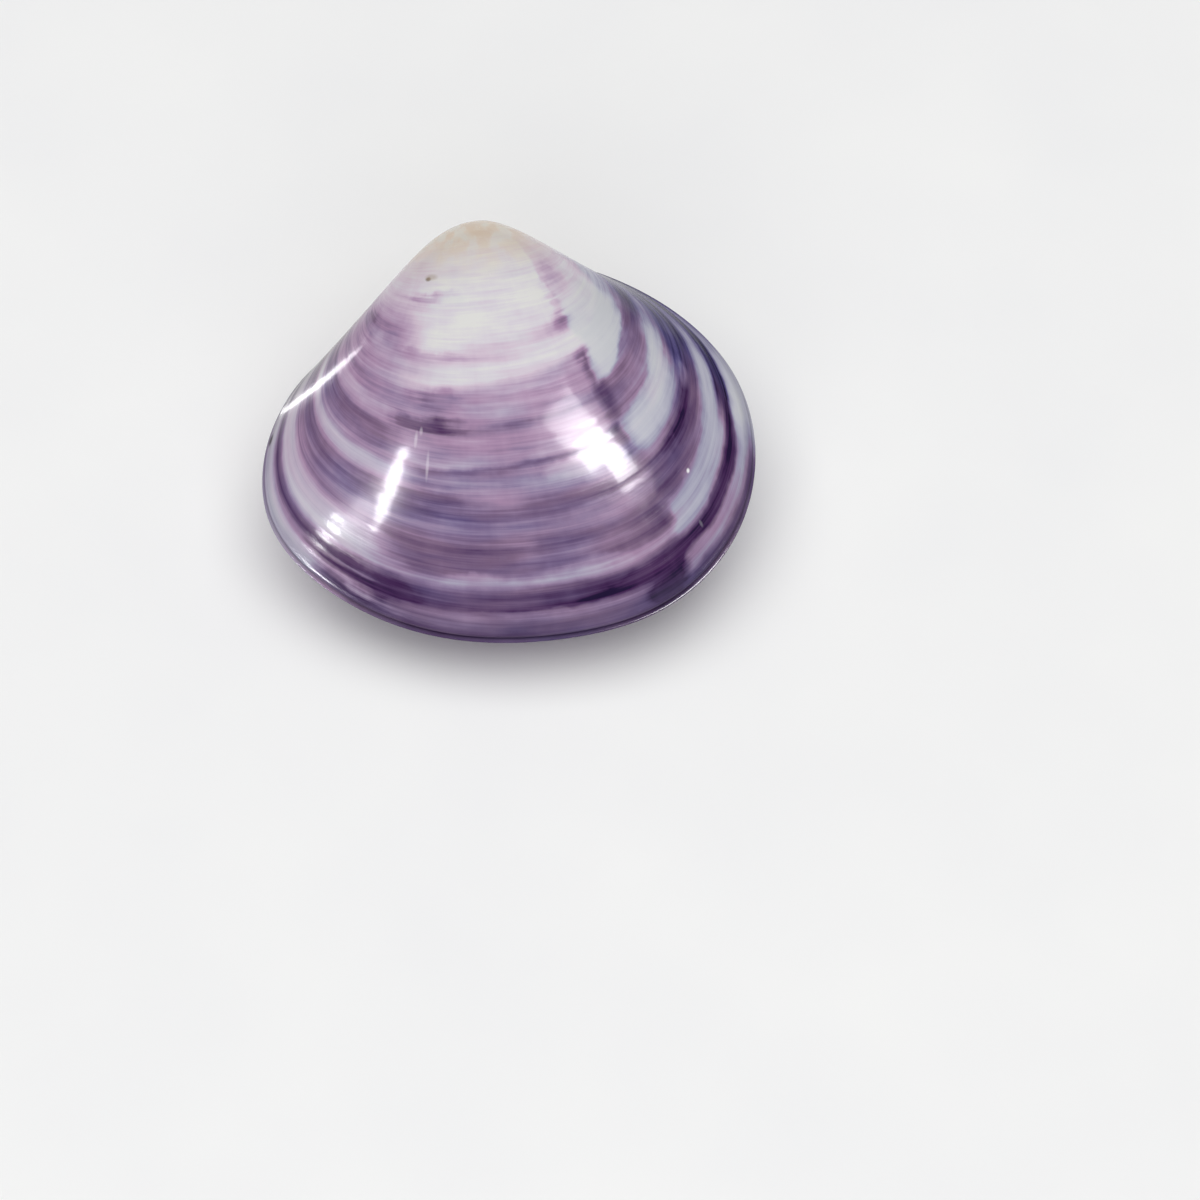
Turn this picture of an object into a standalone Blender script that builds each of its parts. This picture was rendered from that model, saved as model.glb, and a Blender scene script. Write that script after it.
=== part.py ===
"""Closed pair of a Mactra violacea shell: two domed valves and the ligament that joins them."""

import bpy
import bmesh
import math
import numpy as np
from mathutils import Matrix, Vector

for old in list(bpy.data.objects):
    bpy.data.objects.remove(old, do_unlink=True)

MM = 0.001

# Driving dimensions
# A valve grows by getting larger and turning about the hinge at once, so its outside is
# one margin outline that shrinks towards the beak while it turns. The hinge axis is X,
# +X is the hind end, +Y the hinge side and Z = 0 the plane in which the valves meet.
COIL = 0.80                    # turn about the hinge, in radians, for each e-fold of size
EARLY_LENGTH = 0.05            # a young shell is a little longer for its height
BEAK_TURN = math.radians(165)  # turn from the margin to the tip of the beak
RIM_WIDTH = 1.8 * MM           # width of the rim where the valves meet
RIM_ROUND = 0.45 * MM          # rounding of the rim's outer edge
RIM_LIFT = 0.3 * RIM_ROUND     # height at which that rounding leaves the outside
PLAIN_HINGE = 5.0 * MM         # length beside the beak over which that rounding fades in
VALVE_GAP = 0.30 * MM          # gap between the two rims
LOWER_SIZE = 1.010             # the lower valve stands a little proud all round
HOLLOW_CENTRE = (1.0 * MM, -30.0 * MM)
HOLLOW_REACH = 27.0 * MM       # mean distance from that centre to the margin
HOLLOW_TURN = math.radians(76)  # how far up under the beak the hollow goes
HOLLOW_POWER = 4               # how squarely the hollow ends there, 2 for a round end
BEAK_TIP = [(0.35, 0.11), (0.72, 0.08), (0.93, 0.035)]  # size and turn of the blunt tip's rings
BEAK_END = 0.12                # turn of the point that closes the tip

# Rest: the pair lies on the belly of its lower valve, front edge a little lower
REST_PITCH = math.radians(12.5)
REST_ROLL = math.radians(-2.5)
REST_FLAT = 0.15 * MM         # depth of the small flat worn on the belly

# Ligament, in the groove behind the beaks
LIGAMENT_START = 4.0 * MM
LIGAMENT_END = 13.0 * MM
LIGAMENT_HEIGHT = 1.1 * MM
LIGAMENT_GAP = 0.30 * MM
LIGAMENT_FULLNESS = 0.85       # its width against what just touches both valves

# Finish: linear colours and roughness
LEFT_VIOLET = (0.30, 0.19, 0.33)
RIGHT_VIOLET = (0.27, 0.17, 0.32)
HORN_BROWN = (0.09, 0.045, 0.02)
POLISHED = 0.15
SATIN = 0.5

# Mesh
AROUND = 64                    # steps round the margin
UP = 24                        # steps from the margin to the beak
UP_SPREAD = 1.25               # over 1 for steps that are shorter near the margin
CURVE_STEPS = 4000             # steps along the spline before even points are picked on it
HOLLOW_UP = 8
LIGAMENT_STEPS = 12
LIGAMENT_ROUND = 12
MERGE = 0.001 * MM
SHARP = math.radians(40)

# The margin, in millimetres from the beak, from the front of the hinge round the belly
# to the back of the hinge
MARGIN = [
    (-8.0, -4.6), (-17.5, -10.0), (-27.3, -16.6), (-33.0, -25.5), (-33.9, -36.1),
    (-27.4, -47.0), (-14.1, -55.9), (3.0, -59.2), (18.6, -56.8), (29.3, -48.3),
    (34.1, -36.6), (33.0, -24.2), (25.5, -13.1), (12.0, -4.2),
]


def smooth_curve(points, count):
    """Even points along a natural cubic spline through the given ones."""
    knots = np.array(points, float)
    steps = np.hypot(*np.diff(knots, axis=0).T)
    at = np.concatenate([[0.0], np.cumsum(steps)])
    size = len(at)
    system = np.eye(size)
    right = np.zeros((size, 2))
    for i in range(1, size - 1):
        system[i, i - 1] = steps[i - 1]
        system[i, i] = 2.0 * (steps[i - 1] + steps[i])
        system[i, i + 1] = steps[i]
        rise = (knots[i + 1] - knots[i]) / steps[i] - (knots[i] - knots[i - 1]) / steps[i - 1]
        right[i] = 6.0 * rise
    bend = np.linalg.solve(system, right)
    fine = np.linspace(0.0, at[-1], CURVE_STEPS)
    seg = np.clip(np.searchsorted(at, fine, side="right") - 1, 0, size - 2)
    h = steps[seg][:, None]
    a = (at[seg + 1] - fine)[:, None] / h
    b = 1.0 - a
    line = a * knots[seg] + b * knots[seg + 1]
    line += ((a ** 3 - a) * bend[seg] + (b ** 3 - b) * bend[seg + 1]) * h ** 2 / 6.0
    run = np.concatenate([[0.0], np.cumsum(np.hypot(*np.diff(line, axis=0).T))])
    even = np.linspace(0.0, run[-1], count + 1)
    return np.column_stack([np.interp(even, run, line[:, k]) for k in range(2)])


def size_at(turn):
    return math.exp(-turn / COIL)


def grown(flat, turn):
    """An outline drawn at the margin's size, shrunk and turned up about the hinge."""
    x = flat[:, 0] * size_at(turn) ** (1.0 - EARLY_LENGTH)
    y = flat[:, 1] * size_at(turn)
    return np.column_stack([x, y * math.cos(turn), -y * math.sin(turn)])


def valve_rings(outline):
    """Rings from the tip of the beak over the outside, round the rim and up the hollow."""
    outline = outline[:-1]
    centre = np.array(HOLLOW_CENTRE)
    spokes = outline - centre
    rings = []
    for share, ahead in BEAK_TIP:
        rings.append(grown(centre + share * spokes, BEAK_TURN + ahead))
    for i in range(UP, -1, -1):
        rings.append(grown(outline, BEAK_TURN * (i / UP) ** UP_SPREAD))
    # The outer edge is rounded off just before the flat of the rim, but not at the hinge
    from_beak = np.hypot(outline[:, 0], outline[:, 1])
    rings[-1][:, 2] += RIM_LIFT * np.minimum(1.0, from_beak / PLAIN_HINGE)
    rings.append(grown(centre + (1.0 - RIM_ROUND / HOLLOW_REACH) * spokes, 0.0))
    for i in range(HOLLOW_UP):
        part = i / HOLLOW_UP
        turn = HOLLOW_TURN * part
        share = 1.0 - RIM_WIDTH / (HOLLOW_REACH * size_at(turn))
        share *= math.sqrt(1.0 - part ** HOLLOW_POWER)
        rings.append(grown(centre + share * spokes, turn))
    return rings


def closed_mesh(name, rings, first_end, last_end):
    """A closed body from rings of equal count and a point that closes each end."""
    body = bmesh.new()
    grid = [[body.verts.new(point) for point in ring] for ring in rings]
    count = len(grid[0])
    for lower, upper in zip(grid, grid[1:]):
        for j in range(count):
            k = (j + 1) % count
            body.faces.new((lower[j], lower[k], upper[k], upper[j]))
    for ring, end in ((grid[0], first_end), (grid[-1], last_end)):
        tip = body.verts.new(end)
        for j in range(count):
            body.faces.new((ring[j], ring[(j + 1) % count], tip))
    bmesh.ops.remove_doubles(body, verts=body.verts, dist=MERGE)
    bmesh.ops.recalc_face_normals(body, faces=body.faces)
    mesh = bpy.data.meshes.new(name)
    body.to_mesh(mesh)
    body.free()
    mesh.shade_smooth()
    mesh.set_sharp_from_angle(angle=SHARP)
    return mesh


def surface(name, colour, roughness):
    material = bpy.data.materials.new(name)
    material.use_nodes = True
    shader = material.node_tree.nodes["Principled BSDF"]
    shader.inputs["Base Color"].default_value = (*colour, 1.0)
    shader.inputs["Roughness"].default_value = roughness
    shader.inputs["Metallic"].default_value = 0.0
    return material


def add_piece(name, mesh, material):
    piece = bpy.data.objects.new(name, mesh)
    mesh.materials.append(material)
    piece.parent = hinge
    bpy.context.scene.collection.objects.link(piece)
    return piece


def ligament_rings(outline):
    """Lens-shaped rings along the groove behind the beaks, clear of both valves."""
    back = outline[len(outline) * 3 // 4:][::-1]
    rings = []
    for i in range(1, LIGAMENT_STEPS):
        part = i / LIGAMENT_STEPS
        x = LIGAMENT_START + (LIGAMENT_END - LIGAMENT_START) * part
        groove = -np.interp(x, back[:, 0], back[:, 1])
        room = groove - LIGAMENT_GAP
        tall = 0.5 * LIGAMENT_HEIGHT * math.sqrt(1.0 - (2.0 * part - 1.0) ** 2)
        wide = LIGAMENT_FULLNESS * math.sqrt(tall * room)
        turn = np.linspace(0.0, 2.0 * math.pi, LIGAMENT_ROUND, endpoint=False)
        y = -room + tall * (1.0 + np.cos(turn))
        rings.append(np.column_stack([np.full(LIGAMENT_ROUND, x), y, wide * np.sin(turn)]))
    ends = []
    for x in (LIGAMENT_START, LIGAMENT_END):
        groove = -np.interp(x, back[:, 0], back[:, 1])
        ends.append((x, LIGAMENT_GAP - groove, 0.0))
    return rings, ends


margin = smooth_curve([(0.0, 0.0)] + MARGIN + [(0.0, 0.0)], AROUND) * MM
half_gap = np.array([0.0, 0.0, 0.5 * VALVE_GAP])
rings = valve_rings(margin)
middle = np.array([HOLLOW_CENTRE])
tip_end = grown(middle, BEAK_TURN + BEAK_END)[0]
hollow_end = grown(middle, HOLLOW_TURN)[0]
upper_rings = [ring + half_gap for ring in rings]

hinge = bpy.data.objects.new("hinge", None)
bpy.context.scene.collection.objects.link(hinge)

# Left valve: the upper one
left_mesh = closed_mesh("left_valve", upper_rings, tip_end + half_gap, hollow_end + half_gap)
left_valve = add_piece("left_valve", left_mesh, surface("polished_left_valve", LEFT_VIOLET, POLISHED))

# Right valve: the same growth mirrored in the plane where the two meet
mirror = np.array([1.0, 1.0, -1.0]) * LOWER_SIZE
lower_rings = [ring * mirror - half_gap for ring in rings]
right_mesh = closed_mesh("right_valve", lower_rings, tip_end * mirror - half_gap,
                         hollow_end * mirror - half_gap)
right_valve = add_piece("right_valve", right_mesh, surface("polished_right_valve", RIGHT_VIOLET, POLISHED))

# Ligament: horny brown strip in the groove behind the beaks
strip_rings, strip_ends = ligament_rings(margin)
ligament_mesh = closed_mesh("ligament", strip_rings, strip_ends[0], strip_ends[1])
ligament = add_piece("ligament", ligament_mesh, surface("horny_ligament", HORN_BROWN, SATIN))

# Lay the pair down: pitch and roll to its rest, the worn flat cut, the origin set under it
lay = Matrix.Rotation(REST_ROLL, 4, "Y") @ Matrix.Rotation(REST_PITCH, 4, "X")
belly = min((lay @ vert.co).z for vert in right_mesh.vertices) + REST_FLAT
down = lay.inverted() @ Vector((0.0, 0.0, -1.0))
worn = bmesh.new()
worn.from_mesh(right_mesh)
everything = worn.verts[:] + worn.edges[:] + worn.faces[:]
bmesh.ops.bisect_plane(worn, geom=everything, dist=MERGE, plane_co=down * -belly,
                       plane_no=down, clear_outer=True)
bmesh.ops.holes_fill(worn, edges=[edge for edge in worn.edges if edge.is_boundary])
worn.to_mesh(right_mesh)
worn.free()
right_mesh.set_sharp_from_angle(angle=SHARP)

corners = [lay @ vert.co for piece in (left_valve, right_valve, ligament) for vert in piece.data.vertices]
low = Vector([min(corner[k] for corner in corners) for k in range(3)])
high = Vector([max(corner[k] for corner in corners) for k in range(3)])
origin = Vector(((low.x + high.x) / 2.0, (low.y + high.y) / 2.0, low.z))
hinge.location = -origin
hinge.rotation_euler = lay.to_euler()
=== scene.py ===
import math
import bpy
import numpy as np
from mathutils import Matrix, Vector


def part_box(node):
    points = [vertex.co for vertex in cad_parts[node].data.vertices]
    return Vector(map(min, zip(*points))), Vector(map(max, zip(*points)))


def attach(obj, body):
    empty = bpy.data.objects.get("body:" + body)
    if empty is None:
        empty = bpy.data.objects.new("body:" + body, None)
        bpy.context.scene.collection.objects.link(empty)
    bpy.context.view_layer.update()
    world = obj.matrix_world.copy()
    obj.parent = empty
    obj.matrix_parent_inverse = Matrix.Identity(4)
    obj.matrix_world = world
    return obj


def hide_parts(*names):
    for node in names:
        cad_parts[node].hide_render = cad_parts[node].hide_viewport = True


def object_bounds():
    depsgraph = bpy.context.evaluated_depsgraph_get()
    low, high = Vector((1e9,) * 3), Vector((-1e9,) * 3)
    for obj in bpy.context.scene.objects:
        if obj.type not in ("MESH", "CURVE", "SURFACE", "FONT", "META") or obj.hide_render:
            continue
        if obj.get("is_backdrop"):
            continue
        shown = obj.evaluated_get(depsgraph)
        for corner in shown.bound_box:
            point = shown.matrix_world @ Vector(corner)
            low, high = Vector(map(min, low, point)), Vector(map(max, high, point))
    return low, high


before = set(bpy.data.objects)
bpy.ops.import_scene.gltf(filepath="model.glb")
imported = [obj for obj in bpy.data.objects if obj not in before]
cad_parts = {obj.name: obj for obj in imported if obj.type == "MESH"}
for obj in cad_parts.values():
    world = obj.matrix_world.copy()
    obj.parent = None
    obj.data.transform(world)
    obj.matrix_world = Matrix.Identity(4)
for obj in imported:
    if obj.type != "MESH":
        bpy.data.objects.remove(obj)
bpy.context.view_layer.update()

# Left valve
# The upper half of a closed violet clam, a dome of aragonite. Each growth line is the same
# margin, smaller and turned further up about the hinge.
MM = 0.001
COIL = 0.80                     # turn about the hinge, in radians, for each e-fold of size
EARLY_LENGTH = 0.05             # a young shell is a little longer for its height
# A growth line's age is its size, 1 at the rim. Place runs round it, from 0 at the beak over the
# front, the belly and the hind end to 1.
BEAK_AGE = 0.028                # the beak's blunt tip
BEAK_TIP = [(0.30, 0.870), (0.60, 0.905), (0.82, 0.950), (0.95, 0.985)]
RIM_WIDTH = 1.8 * MM
RIM_ROUND = 0.45 * MM
RIM_LIFT = 0.3 * RIM_ROUND
PLAIN_HINGE = 5.0 * MM
VALVE_GAP = 0.30 * MM
HOLLOW_CENTRE = np.array([1.0, -30.0]) * MM
HOLLOW_REACH = 27.0 * MM
HOLLOW_TURN = math.radians(76)
HOLLOW_POWER = 4
AROUND = 420                    # points round the margin, 0.47 mm apart
GROWTH_ROWS = 168               # rows from beak to rim, up to 0.44 mm apart
HOLLOW_ROWS = 16
RIM_ROWS = 5
LAY = Matrix.Rotation(math.radians(-2.5), 3, "Y") @ Matrix.Rotation(math.radians(12.5), 3, "X")
MARGIN = [
    (-8.0, -4.6), (-17.5, -10.0), (-27.3, -16.6), (-33.0, -25.5), (-33.9, -36.1),
    (-27.4, -47.0), (-14.1, -55.9), (3.0, -59.2), (18.6, -56.8), (29.3, -48.3),
    (34.1, -36.6), (33.0, -24.2), (25.5, -13.1), (12.0, -4.2),
]
# Pauses in growth: the age, and the depth and half width in mm of the groove that each left
PAUSES = [
    (0.335, 0.010, 0.30), (0.435, 0.014, 0.35), (0.505, 0.012, 0.35), (0.565, 0.018, 0.35),
    (0.640, 0.014, 0.35), (0.680, 0.024, 0.40), (0.765, 0.026, 0.40), (0.835, 0.028, 0.40),
    (0.872, 0.016, 0.35), (0.905, 0.028, 0.40), (0.932, 0.018, 0.35), (0.955, 0.022, 0.35),
    (0.978, 0.024, 0.35),
]
# Faint swells between them: how many, their height in mm, where they start and their waver
SWELLS = [(23.0, 0.003, 0.0, 1.0), (41.0, 0.0015, 1.3, 0.6)]
SMOOTH_BEAK = 0.12              # the age before which nothing is left of the relief
MARGIN_LENGTH = 190.0           # mm round the rim, roughly, for the scale of the markings
DOME_LENGTH = 75.0              # mm from beak to rim over the dome
INSIDE_AGE = 1.05               # ages over 1 mark the inside, where there are no bands


def margin_curve(count):
    """Even points along a natural cubic spline through the margin's points, from the beak."""
    knots = np.array([(0.0, 0.0)] + MARGIN + [(0.0, 0.0)])
    steps = np.hypot(*np.diff(knots, axis=0).T)
    at = np.concatenate([[0.0], np.cumsum(steps)])
    size = len(at)
    system = np.eye(size)
    right = np.zeros((size, 2))
    for i in range(1, size - 1):
        system[i, i - 1] = steps[i - 1]
        system[i, i] = 2.0 * (steps[i - 1] + steps[i])
        system[i, i + 1] = steps[i]
        rise = (knots[i + 1] - knots[i]) / steps[i] - (knots[i] - knots[i - 1]) / steps[i - 1]
        right[i] = 6.0 * rise
    bend = np.linalg.solve(system, right)
    fine = np.linspace(0.0, at[-1], 12000)
    seg = np.clip(np.searchsorted(at, fine, side="right") - 1, 0, size - 2)
    h = steps[seg][:, None]
    a = (at[seg + 1] - fine)[:, None] / h
    b = 1.0 - a
    line = a * knots[seg] + b * knots[seg + 1]
    line += ((a ** 3 - a) * bend[seg] + (b ** 3 - b) * bend[seg + 1]) * h ** 2 / 6.0
    run = np.concatenate([[0.0], np.cumsum(np.hypot(*np.diff(line, axis=0).T))])
    even = np.linspace(0.0, run[-1], count, endpoint=False)
    return np.column_stack([np.interp(even, run, line[:, k]) for k in range(2)]) * MM


def grown(flat, ages):
    """An outline drawn at the rim's size, shrunk to each age and turned up about the hinge."""
    age = np.asarray(ages, float)[:, None]
    turn = COIL * np.log(1.0 / age)
    x = flat[:, 0] * age ** (1.0 - EARLY_LENGTH)
    y = flat[:, 1] * age
    return np.stack([x, y * np.cos(turn), -y * np.sin(turn)], axis=-1)


def growth_relief(ages, place):
    """Height over the smooth dome: a groove at each pause and faint swells between them."""
    age = ages[:, None]
    drift = 0.0025 * np.sin(2.0 * math.pi * (2.0 * place[None, :] + 3.1 * age))
    height = 0.0
    for count, tall, start, waver in SWELLS:
        height = height + tall * np.sin(2.0 * math.pi * (age + waver * drift) * count + start) * age
    for pause, depth, half in PAUSES:
        away = (age + drift - pause) * DOME_LENGTH / half
        strength = 0.75 + 0.25 * np.sin(2.0 * math.pi * (1.7 * place[None, :] + 5.0 * pause))
        height = height - depth * strength * np.exp(-away ** 2)
    beside_hinge = np.clip(np.minimum(place, 1.0 - place) / 0.08, 0.0, 1.0)[None, :]
    return height * (beside_hinge * np.clip((age - SMOOTH_BEAK) / 0.25, 0.0, 1.0)) ** 2 * MM


def shell_half(name, side, size):
    """One valve as a closed mesh: side is 1 for the upper one and -1 for the lower."""
    outline = margin_curve(AROUND)
    spokes = outline - HOLLOW_CENTRE
    place = np.arange(AROUND) / AROUND
    ages = np.linspace(BEAK_AGE, 1.0, GROWTH_ROWS)
    dome = grown(outline, ages)
    up_the_dome = np.gradient(dome, axis=0)
    along_the_line = np.roll(dome, -1, axis=1) - np.roll(dome, 1, axis=1)
    outward = np.cross(up_the_dome, along_the_line)
    outward /= np.linalg.norm(outward, axis=2, keepdims=True) + 1e-12
    dome += outward * growth_relief(ages, place)[..., None]
    off_hinge = np.minimum(1.0, np.hypot(*outline.T) / PLAIN_HINGE)
    dome[-1][:, 2] += RIM_LIFT * off_hinge
    rings = []
    row_ages = []
    for share, older in BEAK_TIP:
        rings.append(grown(HOLLOW_CENTRE + share * spokes, [BEAK_AGE * older])[0])
        row_ages.append(BEAK_AGE)
    rings.extend(dome)
    row_ages.extend(ages)
    for i in range(1, RIM_ROWS + 1):
        angle = 0.5 * math.pi * i / RIM_ROWS
        inward = RIM_ROUND * (1.0 - math.cos(angle)) / HOLLOW_REACH
        ring = grown(HOLLOW_CENTRE + (1.0 - inward) * spokes, [1.0])[0]
        ring[:, 2] += RIM_LIFT * off_hinge * (1.0 - math.sin(angle))
        rings.append(ring)
        row_ages.append(1.0)
    for i in range(HOLLOW_ROWS):
        part = i / HOLLOW_ROWS
        age = math.exp(-HOLLOW_TURN * part / COIL)
        share = (1.0 - RIM_WIDTH / (HOLLOW_REACH * age)) * math.sqrt(1.0 - part ** HOLLOW_POWER)
        rings.append(grown(HOLLOW_CENTRE + share * spokes, [age])[0])
        row_ages.append(INSIDE_AGE + part)
    tip = grown(HOLLOW_CENTRE[None, :], [BEAK_AGE * 0.86])[0]
    roof = grown(HOLLOW_CENTRE[None, :], [math.exp(-HOLLOW_TURN / COIL)])[0]
    rings = np.array(rings)
    points = np.concatenate([rings.reshape(-1, 3), tip, roof])
    points = points * np.array([size, size, side * size])
    points[:, 2] += 0.5 * side * VALVE_GAP

    # Quads between rings, and a fan at each end. The dome's rows all start at the beak, so
    # their first points are one point.
    row, column = np.meshgrid(np.arange(len(rings) - 1), np.arange(AROUND), indexing="ij")
    row, column = row.ravel(), column.ravel()
    after = (column + 1) % AROUND
    corners = np.column_stack([row * AROUND + after, row * AROUND + column,
                               (row + 1) * AROUND + column, (row + 1) * AROUND + after])
    corner_place = np.column_stack([column + 1, column, column, column + 1]) / AROUND
    corner_age = np.array(row_ages)[np.column_stack([row, row, row + 1, row + 1])]
    beaks = np.arange(len(BEAK_TIP), len(BEAK_TIP) + GROWTH_ROWS) * AROUND
    corners[np.isin(corners, beaks)] = beaks[0]
    faces, grid = [], []
    for quad, places, quad_ages in zip(corners.tolist(), corner_place.tolist(), corner_age.tolist()):
        kept = [n for n in range(4) if quad[n] not in quad[:n]]
        if len(kept) > 2:
            faces.append([quad[n] for n in kept])
            grid.extend((places[n], quad_ages[n]) for n in kept)
    last_row = (len(rings) - 1) * AROUND
    for n in range(AROUND):
        after = (n + 1) % AROUND
        faces.append([n, after, len(points) - 2])
        grid.extend([(n / AROUND, BEAK_AGE), ((n + 1) / AROUND, BEAK_AGE), (0.5, BEAK_AGE)])
        faces.append([last_row + after, last_row + n, len(points) - 1])
        grid.extend([((n + 1) / AROUND, 2.0), (n / AROUND, 2.0), (0.5, 2.0)])
    used = np.unique(np.concatenate([np.array(face) for face in faces]))
    renumbered = np.zeros(len(points), int)
    renumbered[used] = np.arange(len(used))
    mesh = bpy.data.meshes.new(name)
    laid = points[used] @ np.array(LAY).T
    mesh.from_pydata(laid.tolist(), [], [renumbered[face].tolist() for face in faces])
    mesh.uv_layers.new(name="growth").data.foreach_set("uv", np.array(grid, np.float32).ravel())
    if side < 0:
        mesh.flip_normals()
    mesh.shade_smooth()
    piece = bpy.data.objects.new(name, mesh)
    bpy.context.scene.collection.objects.link(piece)
    return piece


def move_points(piece, shift, floor=None):
    """Moves the mesh itself, so that the object stays at the origin, and flattens it on a floor."""
    points = np.zeros(len(piece.data.vertices) * 3, np.float32)
    piece.data.vertices.foreach_get("co", points)
    points = points.reshape(-1, 3) + np.array(shift, np.float32)
    if floor is not None:
        points[:, 2] = np.maximum(points[:, 2], floor)
    piece.data.vertices.foreach_set("co", points.ravel())
    piece.data.update()


def linear(colour, alpha=1.0):
    """The linear colour of an sRGB hex value."""
    parts = [int(colour[i:i + 2], 16) / 255.0 for i in (0, 2, 4)]
    return tuple(p / 12.92 if p <= 0.04045 else ((p + 0.055) / 1.055) ** 2.4 for p in parts) + (alpha,)


def greys(amounts):
    """A ramp's stops for plain numbers, each at its position."""
    return [(position, (amount, amount, amount, 1.0)) for position, amount in amounts]


def add(tree, kind, sockets=None, out=0, stops=None, **settings):
    """Adds a shader node with its settings, the links or values of its sockets and a ramp's
    stops, and returns one of its outputs."""
    made = tree.nodes.new("ShaderNode" + kind)
    for name, value in settings.items():
        setattr(made, name, value)
    if stops:
        ramp = made.color_ramp.elements
        ramp.remove(ramp[-1])
        ramp[0].position, ramp[0].color = stops[0]
        for position, colour in stops[1:]:
            ramp.new(position).color = colour
    for socket, source in (sockets or {}).items():
        if isinstance(source, bpy.types.NodeSocket):
            tree.links.new(source, made.inputs[socket])
        else:
            made.inputs[socket].default_value = source
    return made.outputs[out]


# Pigment laid down at each age, from 0, bare shell, to 1, darkest, in four zones of the valve
FRONT_BANDS = [
    (0.20, 0.16), (0.36, 0.25), (0.40, 0.38), (0.43, 0.52), (0.46, 0.47), (0.49, 0.45),
    (0.52, 0.54), (0.535, 0.48), (0.56, 0.57), (0.585, 0.54), (0.600, 0.42), (0.615, 0.52),
    (0.630, 0.68), (0.680, 0.66), (0.697, 0.52), (0.713, 0.33), (0.728, 0.34), (0.748, 0.62),
    (0.765, 0.73), (0.785, 0.70), (0.800, 0.64), (0.826, 0.62), (0.845, 0.38), (0.865, 0.28),
    (0.897, 0.30), (0.918, 0.76), (0.930, 0.86), (0.945, 0.60), (0.960, 0.32), (0.975, 0.24),
    (0.990, 0.34), (1.000, 0.50),
]
MIDDLE_BANDS = [
    (0.16, 0.16), (0.22, 0.10), (0.32, 0.08), (0.42, 0.04), (0.460, 0.10), (0.485, 0.27),
    (0.512, 0.11), (0.535, 0.15), (0.552, 0.45), (0.612, 0.52), (0.622, 0.64),
    (0.642, 0.50), (0.668, 0.55), (0.685, 0.41), (0.696, 0.71), (0.706, 0.58), (0.718, 0.58),
    (0.732, 0.48), (0.760, 0.68), (0.779, 0.73), (0.789, 0.64), (0.826, 0.65), (0.836, 0.77),
    (0.850, 0.68), (0.872, 0.74), (0.900, 0.54), (0.924, 0.84), (0.936, 0.84), (0.950, 0.90),
    (0.966, 0.64), (0.985, 0.73), (1.000, 0.88),
]
FLANK_BANDS = [
    (0.20, 0.16), (0.30, 0.22), (0.36, 0.24), (0.42, 0.14), (0.48, 0.05), (0.54, 0.08),
    (0.566, 0.18), (0.576, 0.56), (0.592, 0.67), (0.630, 0.64), (0.652, 0.54), (0.668, 0.26),
    (0.690, 0.20), (0.712, 0.22), (0.730, 0.40), (0.748, 0.62), (0.760, 0.73), (0.775, 0.82),
    (0.795, 0.74), (0.812, 0.82), (0.826, 0.72), (0.838, 0.50), (0.855, 0.36), (0.885, 0.35),
    (0.903, 0.50), (0.912, 0.82), (0.922, 0.93), (0.938, 0.93), (0.950, 0.58), (0.972, 0.48),
    (0.988, 0.80), (1.000, 0.90),
]
SLOPE_BANDS = [
    (0.30, 0.26), (0.40, 0.38), (0.44, 0.42), (0.50, 0.46), (0.53, 0.68), (0.56, 0.77),
    (0.585, 0.77), (0.602, 0.50), (0.618, 0.26), (0.638, 0.22), (0.660, 0.38), (0.685, 0.66),
    (0.702, 0.80), (0.718, 0.80), (0.735, 0.78), (0.765, 0.86), (0.788, 0.82), (0.806, 0.46),
    (0.822, 0.30), (0.845, 0.29), (0.860, 0.46), (0.876, 0.80), (0.892, 0.95), (0.914, 0.96),
    (0.924, 0.70), (0.936, 0.40), (0.950, 0.28), (0.975, 0.30), (1.000, 0.34),
]
NAVY = 0.91                     # pigment of the ray on the hind slope
DARKEST = 0.93                  # the most there is before the streaks are added
# Blotches over the bands: place, age, half sizes of both and pigment added
BLOTCHES = [
    (0.255, 0.450, 0.045, 0.075, 0.14), (0.220, 0.720, 0.035, 0.040, -0.14),
    (0.300, 0.460, 0.045, 0.035, -0.08), (0.370, 0.355, 0.060, 0.022, 0.24),
    (0.410, 0.340, 0.050, 0.014, 0.14), (0.400, 0.475, 0.070, 0.022, 0.16),
    (0.385, 0.608, 0.055, 0.028, 0.22), (0.425, 0.605, 0.040, 0.018, 0.12),
    (0.410, 0.560, 0.060, 0.040, 0.16), (0.400, 0.745, 0.050, 0.050, 0.12),
    (0.540, 0.705, 0.070, 0.026, -0.14), (0.395, 0.880, 0.050, 0.035, 0.04),
    (0.550, 0.885, 0.080, 0.030, -0.16), (0.450, 0.895, 0.080, 0.022, -0.12),
    (0.352, 0.952, 0.058, 0.060, 0.40), (0.350, 0.984, 0.042, 0.026, 0.26),
    (0.590, 0.982, 0.030, 0.034, 0.26), (0.500, 0.958, 0.080, 0.008, -0.10),
    (0.560, 0.940, 0.060, 0.024, 0.08), (0.592, 0.955, 0.034, 0.080, 0.20),
    (0.608, 0.400, 0.024, 0.070, 0.18), (0.604, 0.438, 0.030, 0.030, 0.22),
    (0.607, 0.520, 0.018, 0.034, 0.20), (0.606, 0.870, 0.016, 0.070, 0.08),
    (0.655, 0.768, 0.045, 0.018, 0.10), (0.560, 0.790, 0.060, 0.028, -0.08),
    (0.640, 0.345, 0.040, 0.060, 0.10), (0.690, 0.765, 0.060, 0.040, 0.07),
    (0.725, 0.745, 0.022, 0.030, -0.20), (0.700, 0.640, 0.040, 0.030, -0.08),
    # The last blotch, a thin pale line just inside the front rim, is a painted highlight on the rim's
    # rounded edge.
    (0.740, 0.965, 0.045, 0.045, -0.16), (0.360, 0.988, 0.090, 0.004, -0.12),
]
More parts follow.
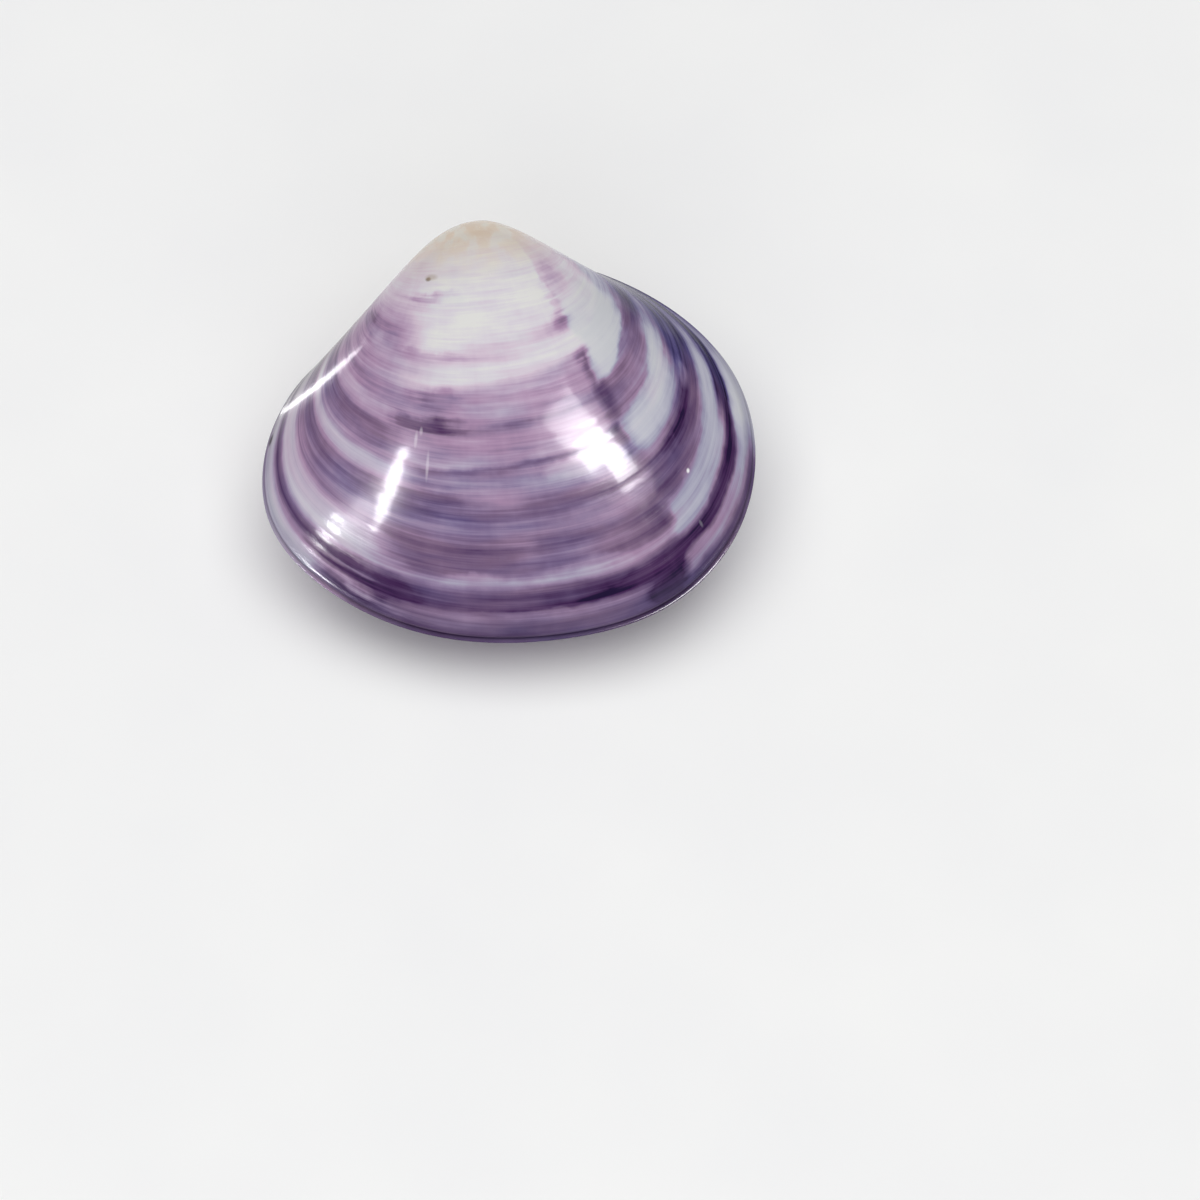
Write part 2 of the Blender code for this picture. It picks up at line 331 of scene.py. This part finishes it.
# Old damage on this valve, and a painted glint: place, age, half sizes of both, colour and
# strength. A pit on the umbo, a chip at the front rim, pale scratches on the belly, and a painted
# glint, a near-white dot on the flank.
MARKS = [
    (0.368, 0.305, 0.009, 0.007, "6a5438", 0.75), (0.375, 0.300, 0.020, 0.010, "9a8468", 0.40),
    (0.212, 0.988, 0.006, 0.012, "35332c", 0.80), (0.389, 0.640, 0.0024, 0.020, "e4dce4", 0.35),
    (0.394, 0.622, 0.0024, 0.010, "e4dce4", 0.32), (0.404, 0.685, 0.0020, 0.034, "e4dce4", 0.36),
    # The near-white dot first on this line is a painted glint on the flank, not damage.
    (0.652, 0.833, 0.0024, 0.0055, "f4f2f4", 0.95), (0.637, 0.925, 0.0016, 0.010, "b8b4c0", 0.25),
]


def polished_shell(name, seed, marks):
    """Aragonite ground smooth and lacquered. The pigment lies in the shell, band by band, so it
    shows as thin concentric lines and cloudy blotches under a hard gloss that is nowhere flat."""
    material = bpy.data.materials.new(name)
    material.use_nodes = True
    tree = material.node_tree
    shader = tree.nodes["Principled BSDF"]
    growth = add(tree, "UVMap", uv_map="growth")
    place, age = add(tree, "SeparateXYZ", {0: growth}).node.outputs[:2]
    outside_age = age

    # Noises, each with the length of its marks along the growth lines and across them, in mm
    spread = add(tree, "Mapping", {"Vector": growth, "Location": (seed * 7.3, seed * 3.1, seed),
                                   "Scale": (MARGIN_LENGTH, DOME_LENGTH, 1.0)})
    grain = {}
    for mark, along, across, detail in (
            ("wander", 40.0, 16.0, 2.0), ("fray", 2.6, 2.2, 3.0), ("drift", 8.0, 6.0, 3.0),
            ("swirl", 6.0, 4.0, 3.0), ("lines", 26.0, 1.1, 3.0), ("threads", 18.0, 0.35, 2.0),
            ("rays", 1.5, 26.0, 2.0), ("clouds", 12.0, 5.0, 3.0), ("tint", 16.0, 4.0, 2.0),
            ("wear", 3.0, 1.2, 3.0), ("hairlines", 24.0, 0.3, 2.0)):
        scaled = add(tree, "Mapping", {"Vector": spread, "Scale": (1.0 / along, 1.0 / across, 1.0)})
        grain[mark] = add(tree, "TexNoise", {"Vector": scaled, "Scale": 1.0, "Detail": detail},
                          normalize=False)
    for mark, amount in (("wander", 0.008), ("fray", 0.0022)):
        age = add(tree, "Math", {0: grain[mark], 1: amount, 2: age}, operation="MULTIPLY_ADD")
    place = add(tree, "Math", {0: grain["drift"], 1: 0.004, 2: place}, operation="MULTIPLY_ADD")
    torn_place = add(tree, "Math", {0: grain["drift"], 1: 0.008, 2: place}, operation="MULTIPLY_ADD")
    torn_age = add(tree, "Math", {0: grain["swirl"], 1: 0.008, 2: age}, operation="MULTIPLY_ADD")

    # The middle's bands rise towards the hind end, and the flank's rise more
    risen = []
    for start, rise, at in ((0.40, 0.39, age), (0.63, 1.10, torn_age)):
        behind = add(tree, "Math", {0: place, 1: start}, operation="SUBTRACT")
        behind = add(tree, "Math", {0: behind, 1: 0.0}, operation="MAXIMUM")
        younger = add(tree, "Math", {0: 1.0, 1: at}, operation="SUBTRACT")
        share = add(tree, "Math", {0: behind, 1: younger}, operation="MULTIPLY")
        risen.append(add(tree, "Math", {0: share, 1: rise, 2: at}, operation="MULTIPLY_ADD"))
    pigment = 0.0
    for bands, at, low, high in (
            (FRONT_BANDS, age, 0.0, 0.001), (MIDDLE_BANDS, risen[0], 0.335, 0.405),
            (FLANK_BANDS, risen[1], 0.606, 0.619), (SLOPE_BANDS, torn_age, 0.700, 0.745)):
        zone = add(tree, "ValToRGB", {0: at}, stops=greys(bands))
        share = add(tree, "MapRange", {0: torn_place, 1: low, 2: high}, interpolation_type="SMOOTHSTEP")
        pigment = add(tree, "Mix", {0: share, 2: pigment, 3: zone})

    # Blotches whose edges fray out along the growth lines
    torn = add(tree, "CombineXYZ", {0: torn_place, 1: torn_age})
    streaks = add(tree, "Math", {0: grain["lines"], 1: grain["swirl"]}, operation="ADD")
    streaks = add(tree, "Math", {0: streaks, 1: 0.75, 2: 1.0}, operation="MULTIPLY_ADD")
    for spot, when, half_place, half_age, amount in BLOTCHES:
        inside = add(tree, "Mapping", {"Vector": torn, "Location": (spot, when, 0.0),
                                       "Scale": (half_place, half_age, 1.0)}, vector_type="TEXTURE")
        ball = add(tree, "TexGradient", {0: inside}, out=1, gradient_type="SPHERICAL")
        ball = add(tree, "Math", {0: ball, 1: streaks}, operation="MULTIPLY")
        share = add(tree, "MapRange", {0: ball, 1: 0.0, 2: 0.9}, interpolation_type="SMOOTHSTEP")
        pigment = add(tree, "Math", {0: share, 1: amount, 2: pigment}, operation="MULTIPLY_ADD")

    # A thin dark line along the ridge where the flank starts, and a navy ray that runs from the
    # beak down the hind slope and bends further back as it goes
    ridge = add(tree, "ValToRGB", {0: place}, stops=greys([
        (0.597, 0.0), (0.608, 0.22), (0.615, 0.22), (0.627, 0.0)]))
    for edges in ({1: 0.49, 2: 0.54, 3: 0.0, 4: 1.0}, {1: 0.72, 2: 0.78, 3: 1.0, 4: 0.0}):
        share = add(tree, "MapRange", {0: age, **edges}, interpolation_type="SMOOTHSTEP")
        ridge = add(tree, "Math", {0: ridge, 1: share}, operation="MULTIPLY")
    pigment = add(tree, "Math", {0: pigment, 1: ridge}, operation="ADD")
    bent = add(tree, "Math", {0: age, 1: -0.15, 2: torn_place}, operation="MULTIPLY_ADD")
    ray = add(tree, "ValToRGB", {0: bent}, stops=greys([
        (0.632, 0.0), (0.648, 0.10), (0.662, 0.34), (0.680, 0.50), (0.700, 0.68), (0.74, 0.82),
        (0.80, 0.80), (0.86, 0.60)]))
    share = add(tree, "MapRange", {0: age, 1: 0.44, 2: 0.58}, interpolation_type="SMOOTHSTEP")
    ray = add(tree, "Math", {0: ray, 1: share}, operation="MULTIPLY")
    pigment = add(tree, "Mix", {0: ray, 2: pigment, 3: NAVY})
    pigment = add(tree, "Math", {0: pigment, 1: DARKEST}, operation="MINIMUM")
    for mark, amount in (("lines", 0.09), ("threads", 0.05), ("rays", 0.012), ("clouds", 0.10)):
        pigment = add(tree, "Math", {0: grain[mark], 1: amount, 2: pigment}, operation="MULTIPLY_ADD")

    # Rose violet over the middle, bluer on the hind slope, where the flank is pale and at the rim
    rose = add(tree, "ValToRGB", {0: pigment}, stops=[
        (0.00, linear("dddcd9")), (0.12, linear("d5cfd7")), (0.25, linear("cfbdcd")),
        (0.42, linear("b9a0ba")), (0.53, linear("a788a7")), (0.60, linear("967b9a")),
        (0.70, linear("7d6381")), (0.80, linear("695071")), (0.88, linear("563a61")),
        (0.95, linear("432051")), (1.00, linear("200c38"))])
    blue = add(tree, "ValToRGB", {0: pigment}, stops=[
        (0.00, linear("cdced2")), (0.12, linear("cacbd0")), (0.25, linear("c0c0cc")),
        (0.42, linear("a8a6bb")), (0.55, linear("8984a4")), (0.66, linear("6a618f")),
        (0.76, linear("4f4679")), (0.86, linear("362d5c")), (0.95, linear("1e1839")),
        (1.00, linear("10072a"))])
    hue = add(tree, "Math", {0: grain["tint"], 1: 0.50, 2: -0.10}, operation="MULTIPLY_ADD")
    for at, low, high, amount in ((place, 0.71, 0.78, 0.90), (age, 0.40, 0.52, 0.20),
                                  (age, 0.86, 0.93, 0.04), (age, 0.690, 0.712, 0.45),
                                  (age, 0.725, 0.745, -0.35)):
        share = add(tree, "MapRange", {0: at, 1: low, 2: high}, interpolation_type="SMOOTHSTEP")
        hue = add(tree, "Math", {0: share, 1: amount, 2: hue}, operation="MULTIPLY_ADD")
    flank = add(tree, "MapRange", {0: torn_place, 1: 0.608, 2: 0.617})
    grown_up = add(tree, "MapRange", {0: age, 1: 0.36, 2: 0.46}, interpolation_type="SMOOTHSTEP")
    flank = add(tree, "Math", {0: flank, 1: grown_up}, operation="MULTIPLY")
    late = add(tree, "MapRange", {0: age, 1: 0.84, 2: 0.89, 3: 0.0, 4: 0.45})
    flank = add(tree, "Math", {0: flank, 1: late}, operation="MAXIMUM")
    bare = add(tree, "MapRange", {0: pigment, 1: 0.42, 2: 0.60, 3: 0.9, 4: 0.0})
    hue = add(tree, "Math", {0: flank, 1: bare, 2: hue}, operation="MULTIPLY_ADD")
    hue = add(tree, "Clamp", {0: hue})
    colour = add(tree, "Mix", {0: hue, 6: rose, 7: blue}, out=2, data_type="RGBA")

    # Front end greyed by a painted reflection of the pale room, the rim darker and greyer towards
    # its edge, peach tip, old damage with a painted glint, and the bare porcelain inside
    for at, edges, tone in ((place, {1: 0.16, 2: 0.24, 3: 0.55, 4: 0.0}, "a3a39e"),
                            (age, {1: 0.955, 2: 0.985, 3: 0.0, 4: 0.22}, "544e62")):
        reflection_and_rim_grey = add(tree, "MapRange", {0: at, **edges}, interpolation_type="SMOOTHSTEP")
        colour = add(tree, "Mix", {0: reflection_and_rim_grey, 6: colour, 7: linear(tone)}, out=2, data_type="RGBA")
    tip = add(tree, "MapRange", {0: age, 1: 0.15, 2: 0.34, 3: 0.85, 4: 0.0},
              interpolation_type="SMOOTHSTEP")
    cloudy = add(tree, "Math", {0: grain["clouds"], 1: 0.5}, operation="ADD")
    chalk = add(tree, "ValToRGB", {0: cloudy}, stops=[
        (0.20, linear("d6bfa4")), (0.50, linear("dac9b2")), (0.80, linear("dad3c2"))])
    colour = add(tree, "Mix", {0: tip, 6: colour, 7: chalk}, out=2, data_type="RGBA")
    for spot, when, half_place, half_age, tone, strength in marks:
        inside = add(tree, "Mapping", {"Vector": growth, "Location": (spot, when, 0.0),
                                       "Scale": (half_place, half_age, 1.0)}, vector_type="TEXTURE")
        ball = add(tree, "TexGradient", {0: inside}, out=1, gradient_type="SPHERICAL")
        share = add(tree, "MapRange", {0: ball, 1: 0.0, 2: 0.6, 3: 0.0, 4: strength})
        colour = add(tree, "Mix", {0: share, 6: colour, 7: linear(tone)}, out=2, data_type="RGBA")
    share = add(tree, "MapRange", {0: outside_age, 1: 1.01, 2: 1.04})
    colour = add(tree, "Mix", {0: share, 6: colour, 7: linear("d8d2d6")}, out=2, data_type="RGBA")
    tree.links.new(colour, shader.inputs["Base Color"])

    # Hand polish: a clear lacquer over a softer gloss that varies a little, and hairlines 0.3 mm
    # apart. Real ones are finer, but wouldn't show.
    gloss = add(tree, "Math", {0: grain["wear"], 1: 0.07, 2: 0.22}, operation="MULTIPLY_ADD")
    tree.links.new(gloss, shader.inputs["Roughness"])
    shader.inputs["IOR"].default_value = 1.53
    shader.inputs["Specular IOR Level"].default_value = 0.15
    shader.inputs["Coat Weight"].default_value = 0.32
    shader.inputs["Coat Roughness"].default_value = 0.09
    shader.inputs["Coat IOR"].default_value = 1.46
    bump = add(tree, "Bump", {"Strength": 0.3, "Distance": 0.015 * MM, "Height": grain["hairlines"]})
    tree.links.new(bump, shader.inputs["Normal"])
    return material


left_valve = shell_half("left_valve_polished", 1, 1.0)
low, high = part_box("left_valve")
box = np.array([corner[:] for corner in left_valve.bound_box])
hinge_place = np.array((low + high) / 2.0) - (box.min(0) + box.max(0)) / 2.0
move_points(left_valve, hinge_place)
left_valve.data.materials.append(polished_shell("polished_left_valve", 1.0, MARKS))
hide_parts("left_valve")
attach(left_valve, "root")

# Right valve
# The lower half, the same growth mirrored in the plane where the two meet and 1% larger, so
# its rim stands a little proud all round. The pair lies on its belly, worn flat by a hair.
LOWER_SIZE = 1.010
right_valve = shell_half("right_valve_polished", -1, LOWER_SIZE)
move_points(right_valve, hinge_place, floor=0.0)
right_valve.data.materials.append(polished_shell("polished_right_valve", 2.0, []))
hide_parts("right_valve")
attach(right_valve, "root")

# Ligament
# Horny brown strip, dried hard in the groove behind the beaks, that held the valves together
# and sprang them open. It is laid down in layers, so it is ridged along its length.
LIGAMENT_START = 4.0 * MM
LIGAMENT_END = 13.0 * MM
LIGAMENT_HEIGHT = 1.1 * MM
LIGAMENT_GAP = 0.30 * MM
LIGAMENT_FULLNESS = 0.85
LIGAMENT_ROWS = 72
LIGAMENT_ROUND = 40
back = margin_curve(AROUND)[AROUND * 3 // 4:][::-1]
turn = np.linspace(0.0, 2.0 * math.pi, LIGAMENT_ROUND, endpoint=False)
strip = []
for i in range(1, LIGAMENT_ROWS):
    part = i / LIGAMENT_ROWS
    x = LIGAMENT_START + (LIGAMENT_END - LIGAMENT_START) * part
    room = -np.interp(x, back[:, 0], back[:, 1]) - LIGAMENT_GAP
    tall = 0.5 * LIGAMENT_HEIGHT * math.sqrt(1.0 - (2.0 * part - 1.0) ** 2)
    wide = LIGAMENT_FULLNESS * math.sqrt(tall * room)
    ridges = 1.0 - 0.05 * np.cos(turn * 9.0) ** 2 - 0.03 * math.sin(part * 150.0)
    y = -room + tall * (1.0 + np.cos(turn) * ridges)
    strip.append(np.column_stack([np.full(LIGAMENT_ROUND, x), y, wide * np.sin(turn) * ridges]))
ends = np.array([LIGAMENT_START, LIGAMENT_END])
ends = np.column_stack([ends, LIGAMENT_GAP + np.interp(ends, back[:, 0], back[:, 1]), 0.0 * ends])
points = np.concatenate(strip + [ends])
faces = []
for i in range(LIGAMENT_ROWS - 2):
    for j in range(LIGAMENT_ROUND):
        k = (j + 1) % LIGAMENT_ROUND
        here, there = i * LIGAMENT_ROUND, (i + 1) * LIGAMENT_ROUND
        faces.append([here + j, here + k, there + k, there + j])
last = (LIGAMENT_ROWS - 2) * LIGAMENT_ROUND
for j in range(LIGAMENT_ROUND):
    k = (j + 1) % LIGAMENT_ROUND
    faces.append([k, j, len(points) - 2])
    faces.append([last + j, last + k, len(points) - 1])
mesh = bpy.data.meshes.new("ligament_dry")
mesh.from_pydata((points @ np.array(LAY).T + hinge_place).tolist(), [], faces)
mesh.shade_smooth()
ligament = bpy.data.objects.new("ligament_dry", mesh)
bpy.context.scene.collection.objects.link(ligament)

# Dried horn: dark brown with paler fibres 0.2 mm thick, satin where it has worn
horn = bpy.data.materials.new("dried_horn")
horn.use_nodes = True
tree = horn.node_tree
shader = tree.nodes["Principled BSDF"]
where = add(tree, "TexCoord", out=3)
along = add(tree, "Mapping", {"Vector": where, "Scale": (400.0, 5000.0, 5000.0)})
fibre = add(tree, "TexNoise", {"Vector": along, "Scale": 1.0, "Detail": 3.0})
tone = add(tree, "ValToRGB", {0: fibre}, stops=[(0.30, linear("2b1a10")), (0.55, linear("4a2f1c")),
                                                 (0.75, linear("6e4a2d"))])
tree.links.new(tone, shader.inputs["Base Color"])
gloss = add(tree, "MapRange", {"Value": fibre, "To Min": 0.42, "To Max": 0.60})
tree.links.new(gloss, shader.inputs["Roughness"])
shader.inputs["IOR"].default_value = 1.54
bump = add(tree, "Bump", {"Strength": 0.5, "Distance": 0.04 * MM, "Height": fibre})
tree.links.new(bump, shader.inputs["Normal"])
ligament.data.materials.append(horn)
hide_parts("ligament")
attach(ligament, "root")

# Floor
# A sheet of white background paper laid flat, wide enough to fill every view. It is dead matt,
# so that no lamp glints on it.
mesh = bpy.data.meshes.new("background_paper")
reach = 1.5
PAPER_DROP = 0.02 * MM          # just clear of the shell's belly
mesh.from_pydata([(-reach, -reach, 0.0), (reach, -reach, 0.0), (reach, reach, 0.0), (-reach, reach, 0.0)],
                 [], [(0, 1, 2, 3)])
paper = bpy.data.objects.new("background_paper", mesh)
paper.location.z = -PAPER_DROP
bpy.context.scene.collection.objects.link(paper)
pulp = bpy.data.materials.new("matt_white_paper")
pulp.use_nodes = True
tree = pulp.node_tree
shader = tree.nodes["Principled BSDF"]
where = add(tree, "TexCoord", out=3)
mottle = add(tree, "TexNoise", {"Vector": where, "Scale": 30.0, "Detail": 2.0})
tone = add(tree, "ValToRGB", {0: mottle}, stops=[(0.3, linear("f2f2f2")), (0.7, linear("f5f5f4"))])
tree.links.new(tone, shader.inputs["Base Color"])
shader.inputs["Roughness"].default_value = 1.0
shader.inputs["Specular IOR Level"].default_value = 0.0
paper.data.materials.append(pulp)
paper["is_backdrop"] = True

# Studio light
# A white room with a soft ceiling and front fill that leave no glint, a window to the right
# of the camera, made of three panes, and a narrow one to its left.
world = bpy.data.worlds.new("white_room")
world.use_nodes = True
world.node_tree.nodes["Background"].inputs["Color"].default_value = linear("fbfcff")
world.node_tree.nodes["Background"].inputs["Strength"].default_value = 0.18
bpy.context.scene.world = world
AIM = Vector((0.0, -0.005, 0.018))
NARROW = 0.07                   # m, the width under which a lamp is an ellipse


def soft_lamp(name, place, turn, width, height, power):
    """A lamp with an even face: a rectangle, or an ellipse if it is narrow."""
    data = bpy.data.lights.new(name, "AREA")
    data.shape = "ELLIPSE" if width < NARROW else "RECTANGLE"
    data.size, data.size_y, data.energy = width, height, power
    lamp = bpy.data.objects.new(name, data)
    lamp.rotation_mode = "QUATERNION"
    lamp.rotation_quaternion = turn
    lamp.location = place
    bpy.context.scene.collection.objects.link(lamp)
    return lamp


def window(name, azimuth, elevation, distance, width, height, tilt, power):
    """A lamp in the walls or ceiling of the room, aimed at the shell."""
    az, el = math.radians(azimuth), math.radians(elevation)
    back = Vector((math.sin(az) * math.cos(el), -math.cos(az) * math.cos(el), math.sin(el)))
    roll = Matrix.Rotation(math.radians(tilt), 4, "Z").to_quaternion()
    turn = (-back).to_track_quat("-Z", "Y") @ roll
    return soft_lamp(name, AIM + back * distance, turn, width, height, power)


for lamp in (window("ceiling", 180.0, 86.0, 1.5, 2.2, 2.2, 0.0, 26.0),
             window("room_front", -10.0, 28.0, 1.0, 1.2, 0.7, 0.0, 3.4)):
    lamp.visible_glossy = False
for lamp in (window("window_right", 40.0, 62.5, 0.60, 0.215, 0.15, 0.0, 1.90),
             window("window_right_middle", 43.5, 53.5, 0.60, 0.195, 0.095, -8.0, 2.25),
             window("window_right_sill", 51.5, 46.5, 0.60, 0.130, 0.100, -8.0, 1.70),
             window("window_left", -62.8, 39.6, 0.60, 0.048, 0.200, 34.0, 1.65),
             window("window_left_low", -68.5, 27.3, 0.60, 0.035, 0.065, 75.0, 0.42),
             window("window_left_haze", -65.5, 32.0, 0.60, 0.065, 0.075, 20.0, 0.17)):
    lamp.visible_diffuse = False
# A short strip close behind the front end, for the thin line of light along the edge there
STRIP_PLACE = Vector((-0.0635, 0.053, 0.020))
STRIP_TURN = Vector((0.0385, -0.045, 0.004)).to_track_quat("-Z", "Y")
rim_light = soft_lamp("rim_light", STRIP_PLACE, STRIP_TURN, 0.0055, 0.040, 0.0115)
rim_light.visible_diffuse = False
rim_light.visible_camera = False

# Camera
# Above and a little left of the shell's front, at the photograph's angle and distance.
AZIMUTH, ELEVATION, ROLL = math.radians(-9.73), math.radians(58.42), math.radians(0.86)
CAMERA_PLACE = Vector((-0.05165, -0.38289, 0.59833))
FOCAL_LENGTH = 149.5            # mm, on a frame 36 mm wide
back = Vector((math.sin(AZIMUTH) * math.cos(ELEVATION), -math.cos(AZIMUTH) * math.cos(ELEVATION),
               math.sin(ELEVATION)))
level = Vector((math.cos(AZIMUTH), math.sin(AZIMUTH), 0.0))
upward = back.cross(level)
right = level * math.cos(ROLL) + upward * math.sin(ROLL)
up = upward * math.cos(ROLL) - level * math.sin(ROLL)
lens = bpy.data.cameras.new("camera")
lens.sensor_width = 36.0
lens.lens = FOCAL_LENGTH
lens.clip_start, lens.clip_end = 0.01, 20.0
camera = bpy.data.objects.new("camera", lens)
camera.rotation_mode = "QUATERNION"
camera.rotation_quaternion = Matrix((right, up, back)).transposed().to_quaternion()
camera.location = CAMERA_PLACE
bpy.context.scene.collection.objects.link(camera)
bpy.context.scene.camera = camera
bpy.context.scene.view_settings.view_transform = "Standard"

low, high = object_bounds()
